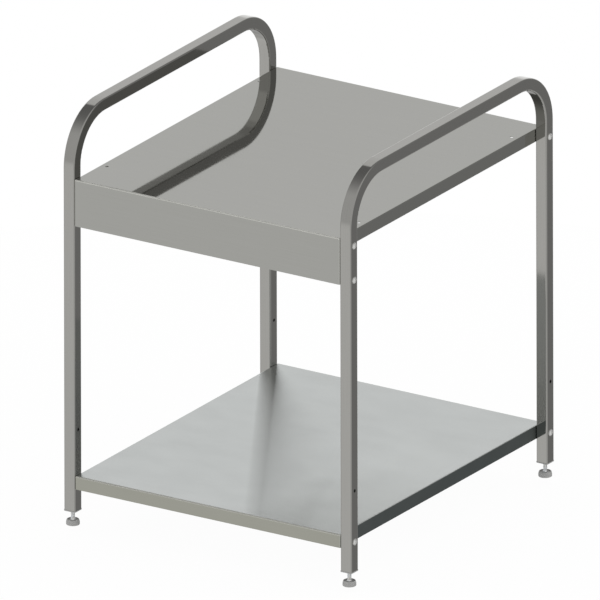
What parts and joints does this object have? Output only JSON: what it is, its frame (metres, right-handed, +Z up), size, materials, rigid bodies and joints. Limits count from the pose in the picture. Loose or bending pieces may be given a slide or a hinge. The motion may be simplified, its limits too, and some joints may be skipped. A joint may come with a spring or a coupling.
{
  "type": "gas stove table",
  "caption": "Stainless steel outdoor kitchen table for a gas stove: folded top with a front apron, lower shelf, bent tube side frames with handle loops, levelling feet.",
  "frame": {"origin": "On the floor under the middle of the table, which is the bottom centre of its box", "axes": "+X is the right side as seen from the front, the front apron faces -Y, +Z is up"},
  "size_m": [0.656, 0.7244, 0.84],
  "materials": {
    "frame_steel": "square tube, satin brushed along its length",
    "top_sheet": "sheet, fine satin brushed",
    "shelf_sheet": "sheet, fine satin brushed, brighter",
    "stiffener_sheet": "plain mill finish sheet",
    "bolt_steel": "turned and polished stainless steel",
    "zinc_plate": "bright zinc plated steel",
    "plug_plastic": "moulded grey polyamide",
    "pad_plastic": "moulded grey polyamide"
  },
  "bodies": {
    "table": {"side_frame_left": "frame_steel", "side_frame_right": "frame_steel", "tabletop": "top_sheet", "top_stiffener_front": "stiffener_sheet", "top_stiffener_rear": "stiffener_sheet", "lower_shelf": "shelf_sheet", "shelf_stiffener": "stiffener_sheet", "leg_plug_front_left": "plug_plastic", "leg_plug_front_right": "plug_plastic", "leg_plug_rear_left": "plug_plastic", "leg_plug_rear_right": "plug_plastic", "plug_nuts": "zinc_plate", "tabletop_bolts": "bolt_steel", "tabletop_washers": "bolt_steel", "tabletop_nuts": "bolt_steel", "shelf_bolts": "bolt_steel", "shelf_washers": "bolt_steel", "shelf_nuts": "bolt_steel"},
    "pad_front_left": {"foot_pad_front_left": "pad_plastic"},
    "pad_front_right": {"foot_pad_front_right": "pad_plastic"},
    "pad_rear_left": {"foot_pad_rear_left": "pad_plastic"},
    "pad_rear_right": {"foot_pad_rear_right": "pad_plastic"},
    "stud_front_left": {"foot_stud_front_left": "zinc_plate"},
    "stud_front_right": {"foot_stud_front_right": "zinc_plate"},
    "stud_rear_left": {"foot_stud_rear_left": "zinc_plate"},
    "stud_rear_right": {"foot_stud_rear_right": "zinc_plate"}
  },
  "joints": [
    {"name": "foot_height_front_left", "type": "slide", "parent": "table", "child": "pad_front_left", "axis": [0, 0, -1], "range_m": [-0.016, 0.012]},
    {"name": "foot_height_front_right", "type": "slide", "parent": "table", "child": "pad_front_right", "axis": [0, 0, -1], "range_m": [-0.016, 0.012]},
    {"name": "foot_height_rear_left", "type": "slide", "parent": "table", "child": "pad_rear_left", "axis": [0, 0, -1], "range_m": [-0.016, 0.012]},
    {"name": "foot_height_rear_right", "type": "slide", "parent": "table", "child": "pad_rear_right", "axis": [0, 0, -1], "range_m": [-0.016, 0.012]},
    {"name": "foot_screw_front_left", "type": "hinge", "parent": "pad_front_left", "child": "stud_front_left", "pos_m": [-0.3125, -0.349, 0], "axis": [0, 0, -1], "range_deg": [-4610, 3458]},
    {"name": "foot_screw_front_right", "type": "hinge", "parent": "pad_front_right", "child": "stud_front_right", "pos_m": [0.3125, -0.349, 0], "axis": [0, 0, -1], "range_deg": [-4610, 3458]},
    {"name": "foot_screw_rear_left", "type": "hinge", "parent": "pad_rear_left", "child": "stud_rear_left", "pos_m": [-0.3125, 0.349, 0], "axis": [0, 0, -1], "range_deg": [-4610, 3458]},
    {"name": "foot_screw_rear_right", "type": "hinge", "parent": "pad_rear_right", "child": "stud_rear_right", "pos_m": [0.3125, 0.349, 0], "axis": [0, 0, -1], "range_deg": [-4610, 3458]}
  ],
  "couplings": [
    {"joint": "foot_screw_front_left", "follows": "foot_height_front_left", "rad_per_m": 5026.5},
    {"joint": "foot_screw_front_right", "follows": "foot_height_front_right", "rad_per_m": 5026.5},
    {"joint": "foot_screw_rear_left", "follows": "foot_height_rear_left", "rad_per_m": 5026.5},
    {"joint": "foot_screw_rear_right", "follows": "foot_height_rear_right", "rad_per_m": 5026.5}
  ]
}
